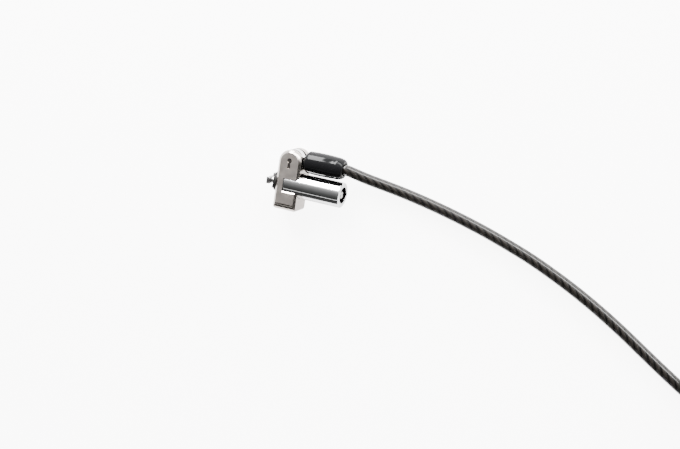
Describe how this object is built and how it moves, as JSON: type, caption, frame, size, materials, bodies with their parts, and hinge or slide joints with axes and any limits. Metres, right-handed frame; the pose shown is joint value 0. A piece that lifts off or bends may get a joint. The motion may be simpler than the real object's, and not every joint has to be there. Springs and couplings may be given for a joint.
{
  "type": "laptop cable lock",
  "caption": "Laptop cable lock: satin metal head, tubular key cylinder, turning tee nose, pivoting steel cable with a glossy boot and a crimped far loop.",
  "frame": {"origin": "on the table under the middle of the head's box, the head lying on its back", "axes": "+X along the key cylinder towards the keyhole, +Y towards the cable pivot, +Z out of the badge face"},
  "size_m": [0.2692, 0.0787, 0.0212],
  "materials": {
    "satin_nickel": "fine-grained satin nickel plate on a zinc casting, brighter on its rounded edges",
    "chrome": "polished chrome",
    "steel": "plain turned steel",
    "brass": "turned brass",
    "black_gloss": "glossy moulded black",
    "black_rubber": "matt black",
    "cable_jacket": "smoked clear jacket over twisted steel strands"
  },
  "bodies": {
    "head": {"lock_body": "satin_nickel", "barrel_shell": "chrome", "pin_block": "brass", "driver_pin_1": "steel", "driver_pin_2": "steel", "driver_pin_3": "steel", "driver_pin_4": "steel", "driver_pin_5": "steel", "driver_pin_6": "steel", "driver_pin_7": "steel", "pin_spring_1": "steel", "pin_spring_2": "steel", "pin_spring_3": "steel", "pin_spring_4": "steel", "pin_spring_5": "steel", "pin_spring_6": "steel", "pin_spring_7": "steel", "barrel_cross_pin": "steel", "nose_shield": "steel", "nose_collar": "black_rubber", "pivot_pin": "steel", "eye_washer_front": "black_rubber", "eye_washer_back": "black_rubber"},
    "key_core": {"key_rotor": "steel", "key_pin_1": "brass", "key_pin_2": "brass", "key_pin_3": "brass", "key_pin_4": "brass", "key_pin_5": "brass", "key_pin_6": "brass", "key_pin_7": "brass", "tee_bar": "steel"},
    "cable": {"cable_eye": "chrome", "cable_lead": "cable_jacket", "cable_coil": "cable_jacket", "coil_tie_1": "black_rubber", "coil_tie_2": "black_rubber", "cable_tail": "cable_jacket", "loop_sleeve": "steel", "cable_loop": "cable_jacket"},
    "boot_sleeve": {"swivel_socket": "steel", "cable_boot": "black_gloss"}
  },
  "joints": [
    {"name": "key_turn", "type": "hinge", "parent": "head", "child": "key_core", "pos_m": [0, -0.00208, 0.0061], "axis": [1, 0, 0], "range_deg": [0, 90]},
    {"name": "cable_pivot", "type": "hinge", "parent": "head", "child": "cable", "pos_m": [-0.00665, 0.00813, 0.0056], "axis": [0, 0, 1], "range_deg": [0, 135]},
    {"name": "boot_swivel", "type": "hinge", "parent": "cable", "child": "boot_sleeve", "pos_m": [0.005, 0.00813, 0.0056], "axis": [1, 0, 0], "continuous": true}
  ]
}
